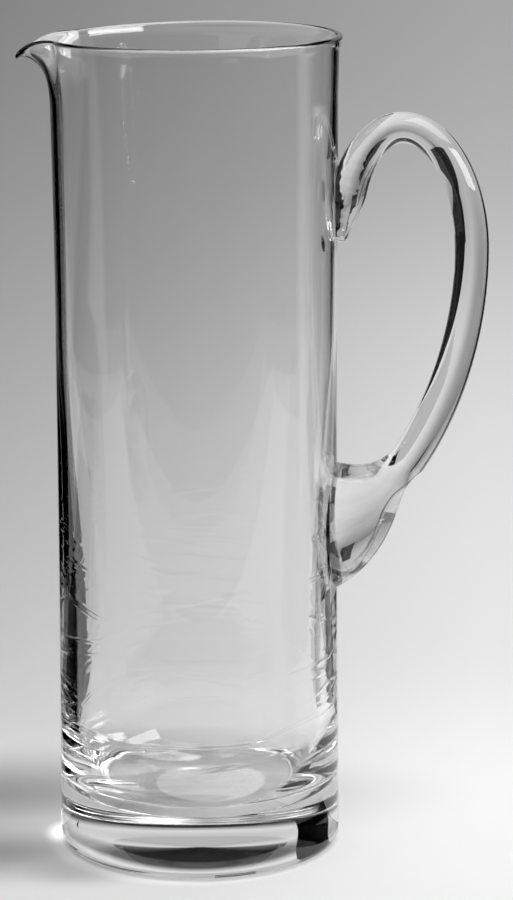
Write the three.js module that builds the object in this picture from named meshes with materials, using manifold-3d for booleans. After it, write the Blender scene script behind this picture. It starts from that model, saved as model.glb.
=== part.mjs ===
// Martini pitcher in clear glass, in two pieces as a glassworker makes it: a tall blown cylinder with
// a heavy base, a fire-polished rim and a pulled pouring lip, and a solid handle that is stuck on low
// with a fat foot, drawn up, looped over and laid down the upper wall as a tapering tail.
// Millimetres, +Z up. The origin is the centre of the flat base, the lip points to -X, the handle to +X.

import * as THREE from 'three';
import { mergeVertices } from 'three/addons/utils/BufferGeometryUtils.js';
import Module from 'manifold-3d';

// Body: a cylinder drawn in very slightly at the waist
const overallHeight = 264.5;
const baseDiameter = 92;
const waistDiameter = 90.2;
const waistBelowRim = 93;
const mouthDiameter = 92.2;
const heelRadius = 3;

// Glass left in the base and the wall, which is thin above and thickens down to the base. Inside, the
// wall runs into the floor by a quarter of a tall oval.
const baseThickness = 18;
const floorCornerWide = 9.4;
const floorCornerTall = 29;
const upperWall = 2.1;
const lowerWall = 5.4;
const thinAboveHeight = 170;
const thickBelowHeight = 60;

// Rim: the top of the wall leans out a little and is melted to a full round
const rimFlare = 0.6;
const rimFlareTall = 3.5;

// Pouring lip: the wall below the rim curls over outwards, the rim sinks towards it, and its flanks
// are drawn in
const lipLength = 23.7;
const lipCurl = THREE.MathUtils.degToRad(101);
const lipLateness = 2.3;
const lipThinning = 0.4;
const lipHalfAngle = THREE.MathUtils.degToRad(25);
const lipSag = 0.9;
const flankPinch = 2;
const flankAngle = THREE.MathUtils.degToRad(55);
const flankDepth = 60;

// Handle: where its centre line runs, measured from the base, the rim and the wall at the waist
const footHeight = 106.7;
const footPull = 19;
const footRise = 9;
const gripPull = 45;
const gripBelowRim = 67.5;
const gripStandOff = 42.8;
const loopBelowRim = 28.7;
const loopStandOff = 20.9;
const landingBelowRim = 48.5;
const landingStandOff = 4.1;
const tailLength = 16.5;
const tailDive = 3.3;
const roundness = 0.55;

// Handle: its oval section, as thickness seen from the side and width seen from the end
const footTall = 41.6;
const footWide = 27;
const footLength = 32;
const footFlare = 1.4;
const footBelly = 2.6;
const footSink = 1.5;
const armThick = 11.8;
const armWide = 12.6;
const gripThick = 10.8;
const gripWide = 12;
const loopThick = 9.8;
const loopWide = 11.6;
const landingThick = 11.3;
const landingWide = 12.4;
const tailThick = 5;
const tailWide = 8;

// The clearance left at the welds between the two pieces
const weldGap = 0.3;

// Fineness of the facets
const columns = 72;
const columnCrowding = 0.5;
const wallRows = 8;
const lipRows = 7;
const heelRows = 4;
const rimRows = 8;
const cornerRows = 8;
const curlSteps = 16;
const handleRings = 52;
const handleSides = 16;
const weldRows = 24;
const cornerMerge = 1e-4;

const glassColour = 0xe9eeec;
const glassRoughness = 0.03;
const glassOpacity = 0.35;

const waistHeight = overallHeight - waistBelowRim;
const rimRadius = upperWall / 2;
const rimHeight = overallHeight - rimRadius;
const lipStartHeight = rimHeight - lipLength;

function smooth(share) {
  const held = Math.min(1, Math.max(0, share));
  return (1 - Math.cos(Math.PI * held)) / 2;
}

function outerRadius(height) {
  const below = height < waistHeight;
  const endDiameter = below ? baseDiameter : mouthDiameter;
  const run = below ? waistHeight : waistBelowRim;
  const swell = ((height - waistHeight) / run) ** 2;
  const lean = THREE.MathUtils.clamp(1 - (rimHeight - height) / rimFlareTall, 0, 1) ** 2;
  return (waistDiameter + (endDiameter - waistDiameter) * swell) / 2 + rimFlare * lean;
}

function wallThickness(height) {
  const share = (thinAboveHeight - height) / (thinAboveHeight - thickBelowHeight);
  return upperWall + (lowerWall - upperWall) * smooth(share);
}

function innerRadius(height) {
  return outerRadius(height) - wallThickness(height);
}

// Heights from one level to another in equal steps, the first level left out
function levels(from, to, count) {
  return Array.from({ length: count }, (_, i) => THREE.MathUtils.lerp(from, to, (i + 1) / count));
}

// Points along part of an oval, wide and tall being its half axes
function ovalPoints(centreX, centreY, wide, tall, fromAngle, toAngle, count) {
  const clockwise = toAngle < fromAngle;
  const oval = new THREE.EllipseCurve(centreX, centreY, wide, tall, fromAngle, toAngle, clockwise);
  return oval.getPoints(count);
}

// The lathe turns a profile about the axis with its columns of facets crowded towards the lip
function turned(profile) {
  const lathe = new THREE.LatheGeometry(profile, columns);
  lathe.rotateX(Math.PI / 2);
  const place = lathe.getAttribute('position');
  for (let i = 0; i < place.count; i++) {
    const radius = Math.hypot(place.getX(i), place.getY(i));
    const even = Math.atan2(place.getY(i), -place.getX(i));
    const around = even - columnCrowding * Math.sin(even);
    place.setXY(i, -radius * Math.cos(around), radius * Math.sin(around));
  }
  return closed(lathe);
}

// A geometry whose shared corners are merged, with nothing but its corners and triangles
function closed(geometry) {
  geometry.deleteAttribute('normal');
  geometry.deleteAttribute('uv');
  return mergeVertices(geometry, cornerMerge);
}

function bodyProfile() {
  const heelX = outerRadius(heelRadius) - heelRadius;
  const rimX = outerRadius(rimHeight) - rimRadius;
  const cornerHeight = baseThickness + floorCornerTall;
  const cornerX = innerRadius(cornerHeight) - floorCornerWide;
  const quarter = Math.PI / 2;
  const outside = [
    ...levels(heelRadius, lipStartHeight, wallRows),
    ...levels(lipStartHeight, rimHeight, lipRows).slice(0, -1),
  ];
  const inside = [
    ...levels(rimHeight, lipStartHeight, lipRows),
    ...levels(lipStartHeight, cornerHeight, wallRows).slice(0, -1),
  ];
  return [
    new THREE.Vector2(0, 0),
    ...ovalPoints(heelX, heelRadius, heelRadius, heelRadius, -quarter, 0, heelRows),
    ...outside.map((height) => new THREE.Vector2(outerRadius(height), height)),
    ...ovalPoints(rimX, rimHeight, rimRadius, rimRadius, 0, 2 * quarter, rimRows),
    ...inside.map((height) => new THREE.Vector2(innerRadius(height), height)),
    ...ovalPoints(cornerX, cornerHeight, floorCornerWide, floorCornerTall, 0, -quarter, cornerRows),
    new THREE.Vector2(0, baseThickness),
  ];
}

// How far the wall has turned from upright at a length along it, where the lip's end turns by bend
function curlTurn(length, bend) {
  return bend * Math.min(1, length / lipLength) ** lipLateness;
}

// Where a length of wall ends when it curls outwards instead of standing straight
function curlEnd(length, bend) {
  const step = length / curlSteps;
  const end = { out: 0, up: 0, turn: curlTurn(length, bend) };
  for (let i = 0; i < curlSteps; i++) {
    const turn = curlTurn((i + 0.5) * step, bend);
    end.out += Math.sin(turn) * step;
    end.up += Math.cos(turn) * step;
  }
  return end;
}

// Pulls the pouring lip: the flanks are drawn in, then the wall curls about its own middle
function pullLip(geometry) {
  const place = geometry.getAttribute('position');
  const middle = outerRadius(rimHeight) - upperWall / 2;
  for (let i = 0; i < place.count; i++) {
    const [x, y, z] = [place.getX(i), place.getY(i), place.getZ(i)];
    const around = Math.atan2(y, -x);
    const flank = smooth(1 - Math.abs(Math.abs(around) / flankAngle - 1));
    const rise = Math.max(0, (z - rimHeight) / flankDepth + 1) ** 2;
    let radius = Math.hypot(x, y) - flankPinch * flank * rise;
    const sag = lipSag * Math.cos(around / 2) ** 4 * rise;
    let height = z - sag;
    const length = z - lipStartHeight;
    const bend = lipCurl * smooth(1 - Math.abs(around) / lipHalfAngle);
    if (length > 0 && bend > 0) {
      const end = curlEnd(length, bend);
      const drawn = 1 - lipThinning * end.turn / lipCurl;
      const offset = (radius - middle) * drawn;
      radius = middle + end.out + offset * Math.cos(end.turn);
      height = lipStartHeight - sag + end.up - offset * Math.sin(end.turn);
    }
    place.setXYZ(i, -radius * Math.cos(around), radius * Math.sin(around), height);
  }
}

function pitcherBody() {
  const geometry = turned(bodyProfile());
  pullLip(geometry);
  return geometry;
}

// The handle's centre line: up the arm to the grip, over the loop, down to the wall and along it.
// It starts inside the wall, sunk by a multiple of the wall's rise across the foot, so that the whole
// foot reaches the round of the wall.
function handleLine() {
  const waist = waistDiameter / 2;
  const wallAtFoot = outerRadius(footHeight);
  const footSagitta = wallAtFoot - Math.sqrt(wallAtFoot ** 2 - (footWide / 2) ** 2);
  const point = (x, z) => new THREE.Vector3(x, 0, z);
  const root = point(wallAtFoot - footSink * footSagitta, footHeight);
  const foot = point(wallAtFoot, footHeight);
  const grip = point(waist + gripStandOff, overallHeight - gripBelowRim);
  const loop = point(waist + loopStandOff, overallHeight - loopBelowRim);
  const landing = point(waist + landingStandOff, overallHeight - landingBelowRim);
  const tip = point(landing.x - tailDive, landing.z - tailLength);
  const crown = new THREE.Vector3().subVectors(loop, grip);
  const fall = new THREE.Vector3().subVectors(landing, loop);
  const tail = new THREE.Vector3().subVectors(tip, landing);
  const line = new THREE.CurvePath();
  line.add(new THREE.LineCurve3(root, foot));
  line.add(new THREE.CubicBezierCurve3(
    foot,
    point(foot.x + footPull, foot.z + footRise),
    point(grip.x, grip.z - gripPull),
    grip,
  ));
  line.add(new THREE.CubicBezierCurve3(
    grip,
    point(grip.x, grip.z + roundness * crown.z),
    point(loop.x - roundness * crown.x, loop.z),
    loop,
  ));
  line.add(new THREE.CubicBezierCurve3(
    loop,
    point(loop.x + roundness * fall.x, loop.z),
    point(landing.x - roundness * tail.x, landing.z - roundness * tail.z),
    landing,
  ));
  line.add(new THREE.LineCurve3(landing, tip));
  return line;
}

// The oval section at each station, by length along the centre line
function handleStations(line) {
  const [toFoot, toGrip, toLoop, toLanding, toTip] = line.getCurveLengths();
  return [
    { at: 0, thick: footTall, wide: footWide },
    { at: toFoot, thick: footTall, wide: footWide, flare: footFlare },
    { at: toFoot + footLength, thick: armThick, wide: armWide },
    { at: toGrip, thick: gripThick, wide: gripWide },
    { at: toLoop, thick: loopThick, wide: loopWide },
    { at: toLanding, thick: landingThick, wide: landingWide },
    { at: toTip, thick: tailThick, wide: tailWide },
  ];
}

function sectionAt(stations, length) {
  let next = 1;
  while (next + 1 < stations.length && length > stations[next].at) next++;
  const [a, b] = [stations[next - 1], stations[next]];
  const run = (length - a.at) / (b.at - a.at);
  const even = smooth(run);
  const flared = a.flare ? 1 - (1 - run) ** a.flare : even;
  return {
    thick: THREE.MathUtils.lerp(a.thick, b.thick, flared),
    wide: THREE.MathUtils.lerp(a.wide, b.wide, even),
  };
}

// How much fuller than an oval the underside is: the foot sags by the wall and is drawn lean beyond
function bellyAt(length) {
  const share = THREE.MathUtils.clamp(length / footLength, 0, 1);
  return footBelly * Math.sin(2 * Math.PI * share);
}

// A closed skin over equal rings of points, with a fan of triangles at each end
function loft(rings) {
  const sides = rings[0].length;
  const corners = rings.flat().flatMap((p) => [p.x, p.y, p.z]);
  const triangles = [];
  for (let r = 0; r + 1 < rings.length; r++) {
    for (let s = 0; s < sides; s++) {
      const here = r * sides + s;
      const beside = r * sides + ((s + 1) % sides);
      triangles.push(here, beside + sides, beside, here, here + sides, beside + sides);
    }
  }
  const last = (rings.length - 1) * sides;
  for (let s = 1; s + 1 < sides; s++) {
    triangles.push(0, s, s + 1, last, last + s + 1, last + s);
  }
  const geometry = new THREE.BufferGeometry();
  geometry.setAttribute('position', new THREE.Float32BufferAttribute(corners, 3));
  geometry.setIndex(triangles);
  return geometry;
}

// Lofts the oval sections along the centre line. At the foot they stand parallel to the wall,
// and by the end of the foot they have turned square to the line.
function handleLoft() {
  const line = handleLine();
  const total = line.getLength();
  const stations = handleStations(line);
  const rootLength = stations[1].at;
  const across = new THREE.Vector3(0, 1, 0);
  const upright = new THREE.Vector3(0, 0, 1);
  const rings = [];
  for (let r = 0; r <= handleRings; r++) {
    const share = r / handleRings;
    const centre = line.getPointAt(share);
    const along = line.getTangentAt(share);
    const square = new THREE.Vector3().crossVectors(along, across);
    const turn = smooth((share * total - rootLength) / footLength);
    const lean = upright.clone().lerp(square, turn).normalize();
    const section = sectionAt(stations, share * total);
    const belly = bellyAt(share * total - rootLength);
    const ring = [];
    for (let s = 0; s < handleSides; s++) {
      const angle = (2 * Math.PI * s) / handleSides;
      const point = centre.clone();
      const depth = section.thick / 2 + (Math.cos(angle) < 0 ? belly : 0);
      point.addScaledVector(lean, Math.cos(angle) * depth);
      point.addScaledVector(across, (Math.sin(angle) * section.wide) / 2);
      ring.push(point);
    }
    rings.push(ring);
  }
  return loft(rings);
}

// The space that the body takes up with the weld's clearance round it, filled to the axis
function wallSpace() {
  const past = 2 * weldGap;
  const heights = [-past, ...levels(-past, overallHeight + past, weldRows)];
  const side = heights.map((height) => new THREE.Vector2(outerRadius(height) + weldGap, height));
  return turned([
    new THREE.Vector2(0, -past),
    ...side,
    new THREE.Vector2(0, overallHeight + past),
  ]);
}

function handle(wasm) {
  const solid = (geometry) => new wasm.Manifold(new wasm.Mesh({
    numProp: 3,
    vertProperties: new Float32Array(geometry.getAttribute('position').array),
    triVerts: new Uint32Array(geometry.getIndex().array),
  }));
  const cut = solid(handleLoft()).subtract(solid(wallSpace())).getMesh();
  const geometry = new THREE.BufferGeometry();
  geometry.setAttribute('position', new THREE.Float32BufferAttribute(cut.vertProperties, 3));
  geometry.setIndex(Array.from(cut.triVerts));
  return geometry;
}

function clearGlass() {
  return new THREE.MeshStandardMaterial({
    color: glassColour,
    roughness: glassRoughness,
    metalness: 0,
    transparent: true,
    opacity: glassOpacity,
  });
}

function piece(name, geometry) {
  geometry.computeVertexNormals();
  const mesh = new THREE.Mesh(geometry, clearGlass());
  mesh.name = name;
  return mesh;
}

const wasm = await Module();
wasm.setup();

const pitcher = new THREE.Group();
pitcher.add(piece('pitcher_body', pitcherBody()));
pitcher.add(piece('handle', handle(wasm)));

export default pitcher;
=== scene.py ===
import math
import bpy
import bmesh
from mathutils import Matrix, Vector
from mathutils.bvhtree import BVHTree
from mathutils.geometry import delaunay_2d_cdt


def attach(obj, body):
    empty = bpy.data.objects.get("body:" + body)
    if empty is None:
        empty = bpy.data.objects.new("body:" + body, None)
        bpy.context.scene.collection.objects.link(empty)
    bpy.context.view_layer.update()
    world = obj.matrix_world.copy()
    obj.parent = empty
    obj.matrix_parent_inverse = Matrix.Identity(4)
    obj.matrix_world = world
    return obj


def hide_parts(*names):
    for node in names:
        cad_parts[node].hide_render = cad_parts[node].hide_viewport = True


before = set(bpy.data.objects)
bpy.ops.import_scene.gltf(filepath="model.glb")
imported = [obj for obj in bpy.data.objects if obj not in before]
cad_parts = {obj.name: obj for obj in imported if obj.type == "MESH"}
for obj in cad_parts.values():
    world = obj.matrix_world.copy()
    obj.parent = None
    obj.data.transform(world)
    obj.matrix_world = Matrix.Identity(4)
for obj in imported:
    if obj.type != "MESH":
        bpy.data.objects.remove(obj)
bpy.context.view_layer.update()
print("frame loaded:", sorted(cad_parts))

mm = 0.001  # shapes are worked out in millimetres and made in metres


# small helpers


def hexLinear(code):
    # an sRGB hex colour as the linear colour that shaders take
    parts = [int(code[i:i + 2], 16) / 255 for i in (1, 3, 5)]
    return (*[p / 12.92 if p <= 0.04045 else ((p + 0.055) / 1.055) ** 2.4 for p in parts], 1.0)


def addNode(tree, kind, settings=None, inputs=None):
    # inputs take plain values or another node's output
    node = tree.nodes.new(kind)
    for name, value in (settings or {}).items():
        setattr(node, name, value)
    for name, value in (inputs or {}).items():
        if isinstance(value, bpy.types.NodeSocket):
            tree.links.new(value, node.inputs[name])
        else:
            node.inputs[name].default_value = value
    return node


def newMaterial(name):
    material = bpy.data.materials.new(name)
    material.use_nodes = True
    material.node_tree.nodes.clear()
    return material


def addObject(name, data):
    made = bpy.data.objects.new(name, data)
    bpy.context.scene.collection.objects.link(made)
    return made


def smooth(share):
    held = min(1.0, max(0.0, share))
    return (1 - math.cos(math.pi * held)) / 2


def mix(a, b, share):
    return a + (b - a) * share


# camera at the photograph's angle

cameraSetup = dict(
    distance=1035.3, height=371.3,   # mm, from the pitcher's axis and the floor
    azimuth=8.0, pitch=13.102, yaw=1.058, roll=-0.212,   # degrees
    lens=131.66, sensor=36.0,        # the sensor's long side is the picture's height
)


def makeCamera():
    setup = cameraSetup
    pitch, yaw, roll = (math.radians(setup[k]) for k in ("pitch", "yaw", "roll"))
    ahead = Vector((math.cos(pitch) * math.sin(yaw), math.cos(pitch) * math.cos(yaw), -math.sin(pitch)))
    right = Vector((math.cos(yaw), -math.sin(yaw), 0))
    up = right.cross(ahead)
    tiltedRight = right * math.cos(roll) + up * math.sin(roll)
    tiltedUp = up * math.cos(roll) - right * math.sin(roll)
    turn = Matrix((tiltedRight, tiltedUp, -ahead)).transposed().to_4x4()
    place = Matrix.Translation(Vector((0, -setup["distance"], setup["height"])) * mm)
    data = bpy.data.cameras.new("camera")
    data.lens = setup["lens"]
    data.sensor_width = setup["sensor"]
    camera = addObject("camera", data)
    camera.matrix_world = toStage @ place @ turn
    bpy.context.scene.camera = camera


# the studio is laid out as the camera sees it, x to the right and y away, and turned into the part's frame
toStage = Matrix.Rotation(math.radians(cameraSetup["azimuth"]), 4, "Z")
makeCamera()
print("camera placed")


# glass

# blown soda-lime glass, fire-polished: colourless and mirror-smooth, with faint ripples left by the
# blowing, and chill marks low on the wall where the hot glass met the mould, which break edges into
# streaks. Each mask gives an axis, where the marks begin and where they are full.
bodyGlass = dict(
    name="blown soda-lime glass", colour="#fafafa", ior=1.52,
    rippleMm=26.0, rippleStretch=0.35, rippleDepthMm=0.012,
    chillLongMm=60.0, chillTallMm=10.0, chillSharp=0.03, chillDepthMm=0.03,
    chillMasksMm=[("Z", 150.0, 60.0), ("Z", 26.0, 45.0)],
    smearMm=18.0, smearFrom=0.45, smearTo=0.75, roughLow=0.0, roughHigh=0.004,
)

# drawn soda-lime glass: the same metal, pulled hot into a rod, so its ripples run small and along the rod
handleGlass = dict(
    name="drawn soda-lime glass", colour="#fafafa", ior=1.52,
    rippleMm=14.0, rippleStretch=0.5, rippleDepthMm=0.008,
    chillLongMm=9.0, chillTallMm=4.0, chillSharp=0.2, chillDepthMm=0.03,
    chillMasksMm=[("X", 66.0, 52.0), ("Z", 170.0, 190.0)],
    smearMm=15.0, smearFrom=0.45, smearTo=0.75, roughLow=0.0, roughHigh=0.004,
)

# where the two pieces are melted into one the glass has no surface, so light goes straight on
weldGlass = dict(name="fused soda-lime glass", colour="#ffffff", ior=1.0)


def makeGlass(finish):
    material = newMaterial(finish["name"])
    tree = material.node_tree
    place = addNode(tree, "ShaderNodeTexCoord")
    stretched = addNode(tree, "ShaderNodeMapping", inputs={
        "Vector": place.outputs["Object"], "Scale": (1, 1, finish["rippleStretch"])})
    ripple = addNode(tree, "ShaderNodeTexNoise", inputs={
        "Vector": stretched.outputs["Vector"], "Scale": 1 / (finish["rippleMm"] * mm), "Detail": 1.0})
    banded = addNode(tree, "ShaderNodeMapping", inputs={
        "Vector": place.outputs["Object"], "Scale": (1, 1, finish["chillLongMm"] / finish["chillTallMm"])})
    chill = addNode(tree, "ShaderNodeTexNoise", inputs={
        "Vector": banded.outputs["Vector"], "Scale": 1 / (finish["chillLongMm"] * mm), "Detail": 1.0})
    across = addNode(tree, "ShaderNodeSeparateXYZ", inputs={"Vector": place.outputs["Object"]})
    # a mark runs wherever the noise passes its middle value
    offLine = addNode(tree, "ShaderNodeMath", {"operation": "SUBTRACT"}, {0: chill.outputs["Fac"], 1: 0.5})
    offLine = addNode(tree, "ShaderNodeMath", {"operation": "ABSOLUTE"}, {0: offLine.outputs[0]})
    marks = addNode(tree, "ShaderNodeMapRange", {"interpolation_type": "SMOOTHSTEP"}, {
        "Value": offLine.outputs[0], "From Max": finish["chillSharp"],
        "To Min": finish["chillDepthMm"] * mm, "To Max": 0.0}).outputs["Result"]
    for axis, none, full in finish["chillMasksMm"]:
        reach = addNode(tree, "ShaderNodeMapRange", {"interpolation_type": "SMOOTHSTEP"}, {
            "Value": across.outputs[axis], "From Min": none * mm, "From Max": full * mm})
        marks = addNode(tree, "ShaderNodeMath", {"operation": "MULTIPLY"}, {
            0: marks, 1: reach.outputs["Result"]}).outputs[0]
    height = addNode(tree, "ShaderNodeMath", {"operation": "MULTIPLY_ADD"}, {
        0: ripple.outputs["Fac"], 1: finish["rippleDepthMm"] * mm, 2: marks})
    bump = addNode(tree, "ShaderNodeBump", inputs={
        "Height": height.outputs[0], "Strength": 1.0, "Distance": 1.0})
    smear = addNode(tree, "ShaderNodeTexNoise", inputs={
        "Vector": place.outputs["Object"], "Scale": 1 / (finish["smearMm"] * mm), "Detail": 3.0})
    wiped = addNode(tree, "ShaderNodeMapRange", inputs={
        "Value": smear.outputs["Fac"], "From Min": finish["smearFrom"], "From Max": finish["smearTo"],
        "To Min": finish["roughLow"], "To Max": finish["roughHigh"]})
    glass = addNode(tree, "ShaderNodeBsdfPrincipled", inputs={
        "Base Color": hexLinear(finish["colour"]), "IOR": finish["ior"], "Transmission Weight": 1.0,
        "Roughness": wiped.outputs["Result"], "Normal": bump.outputs["Normal"]})
    addNode(tree, "ShaderNodeOutputMaterial", inputs={"Surface": glass.outputs["BSDF"]})
    return material


def makeWeld(finish):
    material = newMaterial(finish["name"])
    tree = material.node_tree
    glass = addNode(tree, "ShaderNodeBsdfPrincipled", inputs={
        "Base Color": hexLinear(finish["colour"]), "IOR": finish["ior"], "Transmission Weight": 1.0,
        "Roughness": 0.0})
    addNode(tree, "ShaderNodeOutputMaterial", inputs={"Surface": glass.outputs["BSDF"]})
    return material


blown = makeGlass(bodyGlass)
drawn = makeGlass(handleGlass)
fused = makeWeld(weldGlass)
print("glass made")


# body: a blown cylinder with a heavy base, a fire-polished rim and a pulled lip

bodySizes = dict(
    overallHeight=264.5, baseDiameter=92.0, waistDiameter=90.2, waistBelowRim=93.0, mouthDiameter=92.2,
    heelRadius=3.0, baseThickness=18.0, floorCornerWide=9.4, floorCornerTall=29.0,
    dishRadius=35.0, dishDepth=0.7, pontilRadius=18.5, pontilDepth=0.3, pontilEdge=0.15,
    upperWall=2.1, lowerWall=5.4, thinAboveHeight=170.0, thickBelowHeight=60.0,
    rimFlare=0.6, rimFlareTall=3.5,
    columns=288, columnCrowding=0.5,
    wallRows=80, lipRows=30, heelRows=8, rimRows=14, cornerRows=26, floorRows=20,
)

# the lip's angles are in degrees, and its thinning is a share of the wall
lipSizes = dict(
    length=23.7, curl=101.0, lateness=2.3, halfAngle=25.0, sag=0.9,
    flankPinch=2.0, flankAngle=55.0, flankDepth=60.0, thinning=0.4, curlSteps=24,
)

waistHeight = bodySizes["overallHeight"] - bodySizes["waistBelowRim"]
rimRadius = bodySizes["upperWall"] / 2
rimHeight = bodySizes["overallHeight"] - rimRadius
lipStart = rimHeight - lipSizes["length"]


def outerRadius(height):
    below = height < waistHeight
    endDiameter = bodySizes["baseDiameter"] if below else bodySizes["mouthDiameter"]
    run = waistHeight if below else bodySizes["waistBelowRim"]
    swell = ((height - waistHeight) / run) ** 2
    flare = max(0.0, 1 - (rimHeight - height) / bodySizes["rimFlareTall"]) ** 2
    return mix(bodySizes["waistDiameter"], endDiameter, swell) / 2 + bodySizes["rimFlare"] * flare


def innerRadius(height):
    thin, thick = bodySizes["thinAboveHeight"], bodySizes["thickBelowHeight"]
    share = smooth((thin - height) / (thin - thick))
    return outerRadius(height) - mix(bodySizes["upperWall"], bodySizes["lowerWall"], share)


def levels(start, end, count):
    return [mix(start, end, (i + 1) / count) for i in range(count)]


def arc(centre, wide, tall, startDegrees, endDegrees, count):
    turns = [math.radians(mix(startDegrees, endDegrees, i / count)) for i in range(count + 1)]
    return [(centre[0] + wide * math.cos(t), centre[1] + tall * math.sin(t)) for t in turns]


def undersideHeight(radius):
    # the underside is a little hollow, and the pontil's scar in its middle is ground out and polished
    s = bodySizes
    dish = max(0.0, 1 - radius / s["dishRadius"]) ** 2
    scar = max(0.0, 1 - (radius / s["pontilRadius"]) ** 2)
    return s["dishDepth"] * dish + s["pontilDepth"] * scar


def bodyProfile():
    # radius and height from the middle of the underside round to the middle of the inside floor
    s = bodySizes
    heel = (outerRadius(s["heelRadius"]) - s["heelRadius"], s["heelRadius"])
    rim = (outerRadius(rimHeight) - rimRadius, rimHeight)
    cornerHeight = s["baseThickness"] + s["floorCornerTall"]
    corner = (innerRadius(cornerHeight) - s["floorCornerWide"], cornerHeight)
    outside = levels(s["heelRadius"], lipStart, s["wallRows"])
    outside += levels(lipStart, rimHeight, s["lipRows"])[:-1]
    inside = levels(rimHeight, lipStart, s["lipRows"]) + levels(lipStart, cornerHeight, s["wallRows"])[:-1]
    scarEdge = [s["pontilRadius"] + s["pontilEdge"] * i for i in (-1, 0, 1)]
    underside = [scarEdge[0] * i / s["floorRows"] for i in range(s["floorRows"])] + scarEdge[:2]
    underside += [mix(scarEdge[2], heel[0], i / s["floorRows"]) for i in range(s["floorRows"])]
    cornerArc = arc(corner, s["floorCornerWide"], s["floorCornerTall"], 0, -90, s["cornerRows"])
    floor = [(corner[0] * (1 - i / s["floorRows"]), s["baseThickness"]) for i in range(1, s["floorRows"] + 1)]
    return ([(r, undersideHeight(r)) for r in underside]
            + arc(heel, s["heelRadius"], s["heelRadius"], -90, 0, s["heelRows"])
            + [(outerRadius(h), h) for h in outside]
            + arc(rim, rimRadius, rimRadius, 0, 180, s["rimRows"])
            + [(innerRadius(h), h) for h in inside]
            + cornerArc
            + floor)


def curlEnd(length, bend):
    # where a length of wall ends when it curls outwards, and how far it has turned there
    def turnAt(at):
        return bend * min(1.0, at / lipSizes["length"]) ** lipSizes["lateness"]
    steps = lipSizes["curlSteps"]
    step = length / steps
    turns = [turnAt((i + 0.5) * step) for i in range(steps)]
    return sum(math.sin(t) for t in turns) * step, sum(math.cos(t) for t in turns) * step, turnAt(length)


def pulled(radius, around, height):
    # a point of the plain cylinder after the flanks are drawn in and the lip is curled over
    s = lipSizes
    flank = smooth(1 - abs(abs(around) / math.radians(s["flankAngle"]) - 1))
    rise = max(0.0, (height - rimHeight) / s["flankDepth"] + 1) ** 2
    radius -= s["flankPinch"] * flank * rise
    sag = s["sag"] * math.cos(around / 2) ** 4 * rise
    length = height - lipStart
    bend = math.radians(s["curl"]) * smooth(1 - abs(around) / math.radians(s["halfAngle"]))
    height -= sag
    if length > 0 and bend > 0:
        out, up, turn = curlEnd(length, bend)
        middle = outerRadius(rimHeight) - bodySizes["upperWall"] / 2
        offset = (radius - middle) * (1 - s["thinning"] * turn / math.radians(s["curl"]))
        radius = middle + out + offset * math.cos(turn)
        height = lipStart - sag + up - offset * math.sin(turn)
    return Vector((-radius * math.cos(around), radius * math.sin(around), height))


def columnAngles():
    # measured from the lip, and closer together there
    even = [2 * math.pi * i / bodySizes["columns"] - math.pi for i in range(bodySizes["columns"])]
    return [e - bodySizes["columnCrowding"] * math.sin(e) for e in even]


def finishMesh(name, points, faces, slots, materials):
    # a smooth closed mesh with its faces turned outwards
    mesh = bpy.data.meshes.new(name)
    mesh.from_pydata([p * mm for p in points], [], faces)
    for material in materials:
        mesh.materials.append(material)
    mesh.polygons.foreach_set("material_index", slots)
    shell = bmesh.new()
    shell.from_mesh(mesh)
    bmesh.ops.recalc_face_normals(shell, faces=shell.faces)
    for face in shell.faces:
        face.smooth = True
    shell.to_mesh(mesh)
    shell.free()
    return addObject(name, mesh)


# handle: a rod stuck on low with a fat foot, drawn up, looped over and laid down the upper wall

handleSizes = dict(
    footHeight=106.7, footPull=19.0, footRise=9.0, gripPull=45.0, gripBelowRim=67.5, gripStandOff=42.8,
    loopBelowRim=28.7, loopStandOff=20.9, landingBelowRim=48.5, landingStandOff=4.1,
    tailLength=16.5, tailDive=3.3, roundness=0.55,
    footTall=41.6, footWide=27.0, footLength=32.0, footFlare=1.4, footBelly=2.6, footSink=1.5,
    armThick=11.8, armWide=12.6, gripThick=10.8, gripWide=12.0, loopThick=9.8, loopWide=11.6,
    landingThick=11.3, landingWide=12.4, tailThick=5.0, tailWide=8.0, tipRound=1.6,
    rings=260, sides=72, curveSteps=80, tipStep=15, aimReach=0.2,   # the step is in degrees
)

# how far the wall falls back behind the middle of the foot at the foot's sides
footWall = outerRadius(handleSizes["footHeight"])
footSagitta = footWall - math.sqrt(footWall ** 2 - (handleSizes["footWide"] / 2) ** 2)


def bezierPoints(corners, steps):
    a, b, c, d = (Vector(p) for p in corners)
    made = []
    for i in range(1, steps + 1):
        t = i / steps
        made.append(a * (1 - t) ** 3 + b * 3 * t * (1 - t) ** 2 + c * 3 * t * t * (1 - t) + d * t ** 3)
    return made


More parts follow.
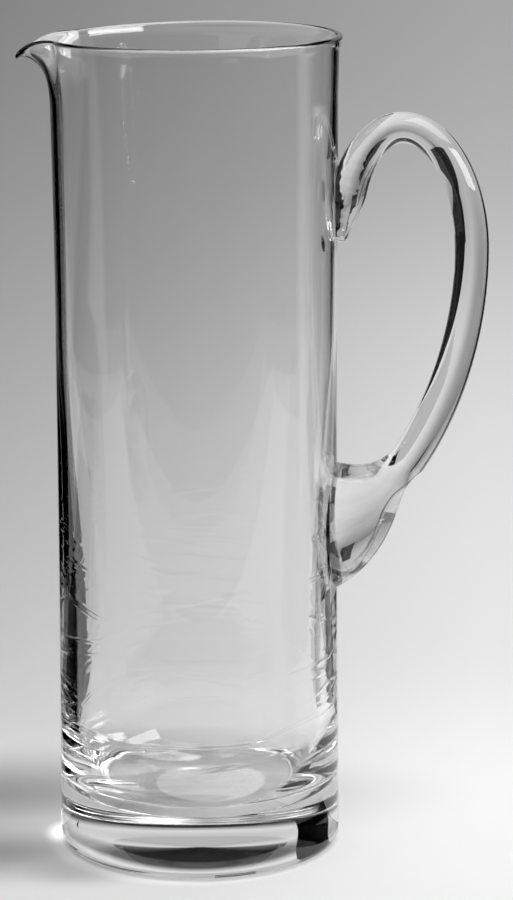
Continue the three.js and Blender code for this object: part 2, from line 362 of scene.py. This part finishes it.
def handleLine():
    # points down the middle of the rod, and the length along it at each named place
    s = handleSizes
    waist, top = bodySizes["waistDiameter"] / 2, bodySizes["overallHeight"]
    wall = outerRadius(s["footHeight"])
    root = Vector((wall - s["footSink"] * footSagitta, s["footHeight"]))
    foot = Vector((wall, s["footHeight"]))
    grip = Vector((waist + s["gripStandOff"], top - s["gripBelowRim"]))
    loop = Vector((waist + s["loopStandOff"], top - s["loopBelowRim"]))
    landing = Vector((waist + s["landingStandOff"], top - s["landingBelowRim"]))
    tip = landing - Vector((s["tailDive"], s["tailLength"]))
    r, steps = s["roundness"], s["curveSteps"]
    stretches = [
        [foot],
        bezierPoints((foot, foot + Vector((s["footPull"], s["footRise"])),
                      grip - Vector((0, s["gripPull"])), grip), steps),
        bezierPoints((grip, (grip.x, mix(grip.y, loop.y, r)),
                      (mix(loop.x, grip.x, r), loop.y), loop), steps),
        bezierPoints((loop, (mix(loop.x, landing.x, r), loop.y),
                      landing - r * (tip - landing), landing), steps),
        [tip],
    ]
    points, lengths, marks = [root], [0.0], []
    for stretch in stretches:
        for p in stretch:
            lengths.append(lengths[-1] + (p - points[-1]).length)
            points.append(p)
        marks.append(lengths[-1])
    return points, lengths, marks


def alongLine(points, lengths, at):
    i = 1
    while i + 1 < len(lengths) and lengths[i] < at:
        i += 1
    share = (at - lengths[i - 1]) / (lengths[i] - lengths[i - 1])
    return points[i - 1].lerp(points[i], share)


def sectionAt(stations, at):
    i = 1
    while i + 1 < len(stations) and at > stations[i][0]:
        i += 1
    (startAt, thickA, wideA), (endAt, thickB, wideB) = stations[i - 1], stations[i]
    run = min(1.0, max(0.0, (at - startAt) / (endAt - startAt)))
    share = 1 - (1 - run) ** handleSizes["footFlare"] if i == 2 else smooth(run)
    return mix(thickA, thickB, share), mix(wideA, wideB, smooth(run))


def handleRings():
    s = handleSizes
    points, lengths, (toFoot, toGrip, toLoop, toLanding, toTip) = handleLine()
    stations = [
        (0, s["footTall"], s["footWide"]),
        (toFoot, s["footTall"], s["footWide"]),
        (toFoot + s["footLength"], s["armThick"], s["armWide"]),
        (toGrip, s["gripThick"], s["gripWide"]),
        (toLoop, s["loopThick"], s["loopWide"]),
        (toLanding, s["landingThick"], s["landingWide"]),
        (toTip, s["tailThick"], s["tailWide"]),
    ]
    stops = levels(0, toTip - s["tipRound"], s["rings"])
    stops += [toTip - s["tipRound"] * (1 - math.sin(math.radians(a)))
              for a in range(s["tipStep"], 90, s["tipStep"])]
    rings = []
    for at in [0.0] + stops:
        centre = alongLine(points, lengths, at)
        before, after = max(0, at - s["aimReach"]), min(toTip, at + s["aimReach"])
        ahead = alongLine(points, lengths, after) - alongLine(points, lengths, before)
        square = Vector((-ahead.y, ahead.x)).normalized()
        lean = Vector((0, 1)).lerp(square, smooth((at - toFoot) / s["footLength"])).normalized()
        thick, wide = sectionAt(stations, at)
        ending = max(0.0, (at - (toTip - s["tipRound"])) / s["tipRound"])
        close = math.sqrt(max(0.0, 1 - ending ** 2))
        alongFoot = min(1.0, max(0.0, (at - toFoot) / s["footLength"]))
        belly = s["footBelly"] * math.sin(2 * math.pi * alongFoot)
        ring = []
        for k in range(s["sides"]):
            turn = 2 * math.pi * k / s["sides"]
            depth = thick / 2 + (belly if math.cos(turn) < 0 else 0)
            spot = centre + lean * (math.cos(turn) * depth * close)
            ring.append(Vector((spot.x, math.sin(turn) * wide / 2 * close, spot.y)))
        rings.append(ring)
    return rings


def stackedFaces(rows, span):
    # faces between rows of points that close on themselves, with a cap at each end
    faces = []
    for r in range(rows - 1):
        for k in range(span):
            beside = (k + 1) % span
            faces.append((r * span + k, r * span + beside, (r + 1) * span + beside, (r + 1) * span + k))
    return faces + [tuple(range(span)), tuple(range((rows - 1) * span, rows * span))]


def lofted(rings):
    points = [p for ring in rings for p in ring]
    return points, stackedFaces(len(rings), len(rings[0]))


def wallWedge(low, high, halfAngle, rows, columns):
    # the body's outside, filled to the axis, on the handle's side only
    points = []
    for r in range(rows + 1):
        height = mix(low, high, r / rows)
        radius = outerRadius(height)
        points.append(Vector((0, 0, height)))
        for c in range(columns + 1):
            turn = math.radians(mix(-halfAngle, halfAngle, c / columns))
            points.append(Vector((radius * math.cos(turn), radius * math.sin(turn), height)))
    return points, stackedFaces(rows + 1, columns + 2)


# the stretch of wall that the handle is cut to, and how the wall's mesh opens round each weld
weldSizes = dict(
    low=70.0, high=232.0, halfAngle=40.0, rows=108, columns=160,
    between=165.0,             # a height between the two welds
    margin=2, clear=0.45,      # cells kept round a weld, and mm kept free beside its outline
    touching=0.03, same=1e-5,  # mm within which faces touch, and within which points are one
    digits=4,                  # of a point's place, by which the outline's ends are matched
)


def makeHandle():
    points, faces = lofted(handleRings())
    rod = finishMesh("handleRod", points, faces, [0] * len(faces), [drawn])
    points, faces = wallWedge(*(weldSizes[k] for k in ("low", "high", "halfAngle", "rows", "columns")))
    wedge = finishMesh("wallWedge", points, faces, [0] * len(faces), [fused])
    # the faces that the cut leaves take the wedge's material, so they tell where the welds are
    cut = rod.modifiers.new("sit on the wall", "BOOLEAN")
    cut.operation = "DIFFERENCE"
    cut.solver = "EXACT"
    cut.material_mode = "TRANSFER"
    cut.object = wedge
    bpy.context.view_layer.update()
    mesh = bpy.data.meshes.new_from_object(rod.evaluated_get(bpy.context.evaluated_depsgraph_get()))
    mesh.name = "handleGlass"
    for spent in (rod, wedge):
        bpy.data.objects.remove(spent)
    # sharp round the welds, and that outline is handed on to the body
    skin = bmesh.new()
    skin.from_mesh(mesh)
    outline = []
    for edge in skin.edges:
        edge.smooth = len({f.material_index for f in edge.link_faces}) == 1
        if not edge.smooth:
            outline.append(tuple(v.co / mm for v in edge.verts))
    contact = [[v.co / mm for v in f.verts] for f in skin.faces if f.material_index == 1]
    skin.to_mesh(mesh)
    skin.free()
    return addObject("handleGlass", mesh), outline, contact


handle, outline, contact = makeHandle()
print("handle made:", len(handle.data.polygons), "faces,", len(outline), "edges round its welds")


def weldTree(contact):
    points, faces = [], []
    for corners in contact:
        faces.append(tuple(range(len(points), len(points) + len(corners))))
        points += corners
    return BVHTree.FromPolygons(points, faces)


def unrolled(p):
    # a point of the wall with the wall laid flat
    return Vector((math.atan2(p.y, p.x) * bodySizes["waistDiameter"] / 2, p.z))


def bodyGrid():
    # points in rows round the axis, and for each weld its outline and the columns and rows that it covers
    profile = bodyProfile()
    angles = columnAngles()
    count = len(angles)
    points, rows = [], []
    for radius, height in profile:
        if radius < weldSizes["same"]:  # on the axis
            rows.append([len(points)] * count)
            points.append(Vector((0, 0, height)))
            continue
        rows.append(list(range(len(points), len(points) + count)))
        points += [pulled(radius, a, height) for a in angles]

    firstWall = next(i for i, p in enumerate(profile) if p[1] >= bodySizes["heelRadius"])
    wallRows = range(firstWall, firstWall + bodySizes["wallRows"] + 1)
    windows = []
    for upper in (False, True):
        edges = [e for e in outline if (e[0].z >= weldSizes["between"]) == upper]
        ends = [p for e in edges for p in e]
        reach = max(abs(math.atan2(p.y, p.x)) for p in ends)
        low, high = min(p.z for p in ends), max(p.z for p in ends)
        away = [math.pi - abs(a) for a in angles]  # from the handle's side
        columns = [i for i in range(count) if away[i] < reach]
        columns.sort(key=lambda i: math.atan2(math.sin(angles[i]), -math.cos(angles[i])))
        rowsIn = [i for i in wallRows if low < profile[i][1] < high]
        windows.append((edges, columns, rowsIn))
    return points, rows, windows


def bodyMesh():
    # the wall is meshed anew round each weld, so that it shares the weld's outline with the handle
    points, rows, windows = bodyGrid()
    count = len(rows[0])
    margin = weldSizes["margin"]
    tree = weldTree(contact)
    faces, slots, taken = [], [], set()
    for edges, columns, rowsIn in windows:
        first = (columns[0] - margin) % count
        wide = len(columns) + 2 * margin
        columnRun = [(first + i) % count for i in range(wide)]
        rowRun = range(rowsIn[0] - margin, rowsIn[-1] + margin + 1)
        for r in rowRun[:-1]:
            taken |= {(r, c) for c in columnRun[:-1]}
        ends = [p for e in edges for p in e]
        flat, owner = [], []
        for r in rowRun:
            for i, c in enumerate(columnRun):
                p = points[rows[r][c]]
                border = r in (rowRun[0], rowRun[-1]) or i in (0, wide - 1)
                if border or min((p - q).length for q in ends) > weldSizes["clear"]:
                    flat.append(unrolled(p))
                    owner.append(rows[r][c])
        number, lines = {}, []
        for edge in edges:
            line = []
            for p in edge:
                key = tuple(round(x, weldSizes["digits"]) for x in p)
                if key not in number:
                    number[key] = len(flat)
                    flat.append(unrolled(p))
                    owner.append(len(points))
                    points.append(p)
                line.append(number[key])
            if line[0] != line[1]:
                lines.append(tuple(line))
        _, _, triangles, sources, _, _ = delaunay_2d_cdt(flat, lines, [], 0, weldSizes["same"], True)
        corner = [owner[ids[0]] for ids in sources]
        for face in triangles:
            middle = sum((points[corner[k]] for k in face), Vector()) / 3
            faces.append(tuple(corner[k] for k in face))
            slots.append(1 if tree.find_nearest(middle)[3] < weldSizes["touching"] else 0)
    for r in range(len(rows) - 1):
        for c in range(count):
            if (r, c) in taken:
                continue
            beside = (c + 1) % count
            face = [rows[r][c], rows[r][beside], rows[r + 1][beside], rows[r + 1][c]]
            faces.append(tuple(dict.fromkeys(face)))
            slots.append(0)
    used = sorted({i for f in faces for i in f})
    place = {old: new for new, old in enumerate(used)}
    return [points[i] for i in used], [tuple(place[i] for i in f) for f in faces], slots


points, faces, slots = bodyMesh()
body = finishMesh("bodyGlass", points, faces, slots, [blown, fused])
print("body made:", len(body.data.polygons), "faces,", sum(slots), "of them welded")

# clear glass lets the light through to the card, so what it does there is drawn on the card instead
body.visible_shadow = False
handle.visible_shadow = False

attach(body, "root")
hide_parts("pitcher_body")
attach(handle, "root")
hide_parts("handle")


# studio, in metres: a matt pale card to stand on, with painted light and shadows, a softbox above, a glowing
# window to the right and cards around, which only the glass sees

studio = dict(
    floorRadius=30.0, floorStep=5,
    floorDrop=0.0003,   # keeps the card clear of the glass
    skyLight=0.62,      # what the card gets from the room all round
    # what shows of the room by degrees above the floor: a pale backdrop, dark above it, a pale ceiling
    room=[(0, "#8f8f8f"), (7, "#bababa"), (16, "#bcbcbc"), (19.5, "#e6e6e6"), (21.5, "#5a5a5a"),
          (25, "#0a0a0a"), (33, "#0a0a0a"), (42, "#d0d0d0")],
)

# painted light: the card's colour is paler towards the camera and to the right, standing in for the fall of
# the light on it
paintedLightFalloff = dict(
    eyeBack=1.035, eyeUp=0.3713, nearest=0.25,   # from where the light's fall is seen
    flat=0.37, perSlope=1.0, perSide=4.2, perSideSlope=-8.5, sideLeft=-0.075, sideRight=0.09,
)

# painted light and shadow on the card: the shadows of the glass, the light it gathers, and pools of light:
# the middle and half size of an oval, how many times as bright it is there, and how much of the oval fades
paintedLightSpots = dict(
    # painted shadows of the glass, to the side and in front
    sideShadow=((-0.085, 0.04), (0.19, 0.065), 0.37, 1.0),
    frontShadow=((-0.08, -0.016), (0.14, 0.038), 0.36, 1.0),
    # painted light that the glass gathers at the base's left edge, and a painted contact shadow at its front
    # left
    gatheredLight=((-0.0465, 0.003), (0.0065, 0.013), 2.2, 1.0),
    contact=((-0.038, -0.036), (0.026, 0.016), 0.75, 1.0),
    # painted pools of light behind and beside the pitcher
    paintedLightBehind=((0.16, 0.7), (0.25, 0.9), 1.13, 1.0),
    paintedLightBeside=((0.1, 0.03), (0.13, 0.2), 1.12, 1.0),
    # painted light round the base, painted shade under it, painted light gathered under the pontil, painted
    # shade at its front and back
    lightRoundBase=((-0.003, -0.002), (0.0485, 0.0485), 1.13, 0.08),
    shadeUnderBase=((0, 0), (0.0465, 0.0465), 0.52, 0.06),
    lightUnderPontil=((0.004, 0.003), (0.0205, 0.02), 1.5, 0.08),
    shadeAtPontilFront=((-0.001, -0.0125), (0.014, 0.004), 0.8, 0.3),
    shadeAtPontilBack=((0.007, 0.017), (0.011, 0.0025), 0.5, 0.4),
)

softbox = dict(place=(0.55, -0.15, 1.15), aim=(0.1, 0.1, 0), size=(0.9, 0.9), watts=8.0)

# painted reflections: flat sheets that only the glass sees and that light nothing, dark ones past the edges
# of the card,
# greyer glowing ones and a glowing window: the middle, half of the width, half of the height, and how much
# each glows
panels = dict(
    leftDark=((-0.1785, 0.2, 0.15), (0.0885, 0, 0), (0.012, 0, 0.15), 0.0),
    leftTable=((-0.335, 0.12, 0.001), (0.25, 0, 0), (0, 0.08, 0), 0.0),
    leftFar=((-15.7, -1.05, 0.001), (15, 0, 0), (0, 1.5, 0), 0.12),
    frontFar=((0, -1.8, 0.001), (0.7, 0, 0), (0, 1.45, 0), 0.12),
    rightFar=((15.7, -1.25, 0.001), (15, 0, 0), (0, 1.25, 0), 0.12),
    rightBack=((1.326, 1.28, 0.001), (0.75, 0, 0), (0.216, 0.92, 0), 0.0),
    rightDark=((1.36, 1.2, 0.11), (0.85, 0, 0), (0, 0, 0.11), 0.0),
    rightPost=((0.638, 1.19, 0.11), (0.23, 0, 0), (-0.132, 0, 0.11), 0.0),
    rightGrey=((0.225, 0.36, 0.0007), (0.085, 0, 0), (0.05, 0.22, 0), 0.5),
    rightTable=((0.5425, 0.23, 0.001), (0.235, 0, 0), (0.0525, 0.13, 0), 0.0),
    rightLow=((0.1175, 0.12, 0.025), (0.0275, 0, 0), (0, 0, 0.025), 0.0),
    backGap=((-0.525, 3.0, 0.275), (0.325, 0, 0), (0, 0, 0.275), 0.0),
    nearFront=((0, -0.0865, 0.001), (0.09, 0, 0), (0, 0.0385, 0), 0.0),
    nearLeft=((-0.069, -0.021, 0.001), (0.021, 0, 0), (0, 0.027, 0), 0.0),
    nearRight=((0.069, -0.021, 0.001), (0.021, 0, 0), (0, 0.027, 0), 0.0),
    rightFlag=((0.167, 0.2, 0.2325), (0.042, 0, 0), (0.035, 0, 0.0375), 0.0),
    # a painted reflection of a window: a bright sheet that lights nothing
    window=((1.418, -0.488, 0.825), (-0.207, -0.602, 0), (0, 0, 0.325), 9.0),
)


def makeFloor():
    mesh = bpy.data.meshes.new("floor")
    reach = studio["floorRadius"]
    ring = [(reach * math.cos(math.radians(a)), reach * math.sin(math.radians(a)), -studio["floorDrop"])
            for a in range(0, 360, studio["floorStep"])]
    mesh.from_pydata(ring, [], [tuple(range(len(ring)))])
    # matt card: white pulp with no gloss, its colour carrying painted light and painted shadows
    material = newMaterial("matt white card with painted light and shadow")
    tree = material.node_tree
    tone = paintedLightFalloff
    place = addNode(tree, "ShaderNodeTexCoord")
    across = addNode(tree, "ShaderNodeSeparateXYZ", inputs={"Vector": place.outputs["Object"]})
    # painted light: paler the more steeply it lies below the eye, and from left to right
    away = addNode(tree, "ShaderNodeMath", {"operation": "ADD"}, {0: across.outputs["Y"], 1: tone["eyeBack"]})
    away = addNode(tree, "ShaderNodeMath", {"operation": "MAXIMUM"}, {0: away.outputs[0], 1: tone["nearest"]})
    slope = addNode(tree, "ShaderNodeMath", {"operation": "DIVIDE"}, {0: tone["eyeUp"], 1: away.outputs[0]})
    near = addNode(tree, "ShaderNodeMath", {"operation": "MULTIPLY_ADD"},
                   {0: slope.outputs[0], 1: tone["perSlope"], 2: tone["flat"]})
    side = addNode(tree, "ShaderNodeMath", {"operation": "DIVIDE"},
                   {0: across.outputs["X"], 1: away.outputs[0]})
    side = addNode(tree, "ShaderNodeClamp", inputs={
        "Value": side.outputs[0], "Min": tone["sideLeft"], "Max": tone["sideRight"]})
    tilt = addNode(tree, "ShaderNodeMath", {"operation": "MULTIPLY_ADD"},
                   {0: slope.outputs[0], 1: tone["perSideSlope"], 2: tone["perSide"]})
    right = addNode(tree, "ShaderNodeMath", {"operation": "MULTIPLY_ADD"},
                    {0: side.outputs[0], 1: tilt.outputs[0], 2: 1.0})
    pale = addNode(tree, "ShaderNodeMath", {"operation": "MULTIPLY"},
                   {0: near.outputs[0], 1: right.outputs[0]})
    # each oval multiplies in a painted shadow or a painted pool of light
    for middle, half, strength, soft in paintedLightSpots.values():
        shifted = addNode(tree, "ShaderNodeMapping", {"vector_type": "TEXTURE"}, {
            "Vector": place.outputs["Object"], "Location": (*middle, 0), "Scale": (*half, 1)})
        apart = addNode(tree, "ShaderNodeVectorMath", {"operation": "LENGTH"}, {0: shifted.outputs["Vector"]})
        times = addNode(tree, "ShaderNodeMapRange", {"interpolation_type": "SMOOTHSTEP"}, {
            "Value": apart.outputs["Value"], "From Min": 1 - soft, "From Max": 1.0,
            "To Min": strength, "To Max": 1.0})
        pale = addNode(tree, "ShaderNodeMath", {"operation": "MULTIPLY"}, {
            0: pale.outputs[0], 1: times.outputs["Result"]})
    pale = addNode(tree, "ShaderNodeClamp", inputs={"Value": pale.outputs[0]})
    card = addNode(tree, "ShaderNodeBsdfDiffuse", inputs={"Color": pale.outputs[0]})
    addNode(tree, "ShaderNodeOutputMaterial", inputs={"Surface": card.outputs["BSDF"]})
    mesh.materials.append(material)
    floor = addObject("floor", mesh)
    floor.matrix_world = toStage


def makeSky():
    world = bpy.data.worlds.new("studio")
    world.use_nodes = True
    tree = world.node_tree
    tree.nodes.clear()
    place = addNode(tree, "ShaderNodeTexCoord")
    up = addNode(tree, "ShaderNodeSeparateXYZ", inputs={"Vector": place.outputs["Generated"]})
    room = addNode(tree, "ShaderNodeValToRGB", inputs={"Fac": up.outputs["Z"]})
    stops = room.color_ramp.elements
    for i, (degrees, colour) in enumerate(studio["room"]):
        stop = stops[i] if i < 2 else stops.new(1.0)
        stop.position = math.sin(math.radians(degrees))
        stop.color = hexLinear(colour)
    # the glass and the camera see the room, and the card is lit evenly by all of it
    ray = addNode(tree, "ShaderNodeLightPath")
    sharp = addNode(tree, "ShaderNodeMath", {"operation": "MAXIMUM"}, {
        0: ray.outputs["Is Camera Ray"], 1: ray.outputs["Is Glossy Ray"]})
    sharp = addNode(tree, "ShaderNodeMath", {"operation": "MAXIMUM"}, {
        0: sharp.outputs[0], 1: ray.outputs["Is Transmission Ray"]})
    seen = addNode(tree, "ShaderNodeBackground", inputs={"Color": room.outputs["Color"]})
    light = addNode(tree, "ShaderNodeBackground", inputs={
        "Color": (1, 1, 1, 1), "Strength": studio["skyLight"]})
    sky = addNode(tree, "ShaderNodeMixShader", inputs={
        0: sharp.outputs[0], 1: light.outputs["Background"], 2: seen.outputs["Background"]})
    addNode(tree, "ShaderNodeOutputWorld", inputs={"Surface": sky.outputs["Shader"]})
    bpy.context.scene.world = world


def makeSoftbox():
    data = bpy.data.lights.new("softbox", "AREA")
    data.shape = "RECTANGLE"
    data.size, data.size_y = softbox["size"]
    data.energy = softbox["watts"]
    made = addObject("softbox", data)
    place, aim = Vector(softbox["place"]), Vector(softbox["aim"])
    turn = (place - aim).to_track_quat("Z", "Y").to_matrix().to_4x4()
    made.matrix_world = toStage @ Matrix.Translation(place) @ turn


def makePanels():
    for name, (middle, right, up, strength) in panels.items():
        middle, right, up = Vector(middle), Vector(right), Vector(up)
        corners = [middle - right - up, middle + right - up, middle + right + up, middle - right + up]
        mesh = bpy.data.meshes.new(name)
        mesh.from_pydata(corners, [], [(0, 1, 2, 3)])
        # painted reflections: a black sheet, or a sheet that glows though it is no lamp, one flat tone with
        # no sheen
        material = newMaterial("glowing sheet seen only in the glass" if strength else "black sheet seen only in the glass")
        tree = material.node_tree
        glow = addNode(tree, "ShaderNodeEmission", inputs={"Strength": strength})
        addNode(tree, "ShaderNodeOutputMaterial", inputs={"Surface": glow.outputs["Emission"]})
        mesh.materials.append(material)
        made = addObject(name, mesh)
        made.matrix_world = toStage
        made.visible_camera = False
        made.visible_diffuse = False
        made.visible_shadow = False


makeFloor()
makeSky()
makeSoftbox()
makePanels()

scene = bpy.context.scene
scene.view_settings.view_transform = "Standard"
scene.cycles.max_bounces = 40   # light goes through many walls of glass before it leaves
scene.cycles.transmission_bounces = 40
scene.cycles.glossy_bounces = 16
print("studio made")

bpy.context.view_layer.update()
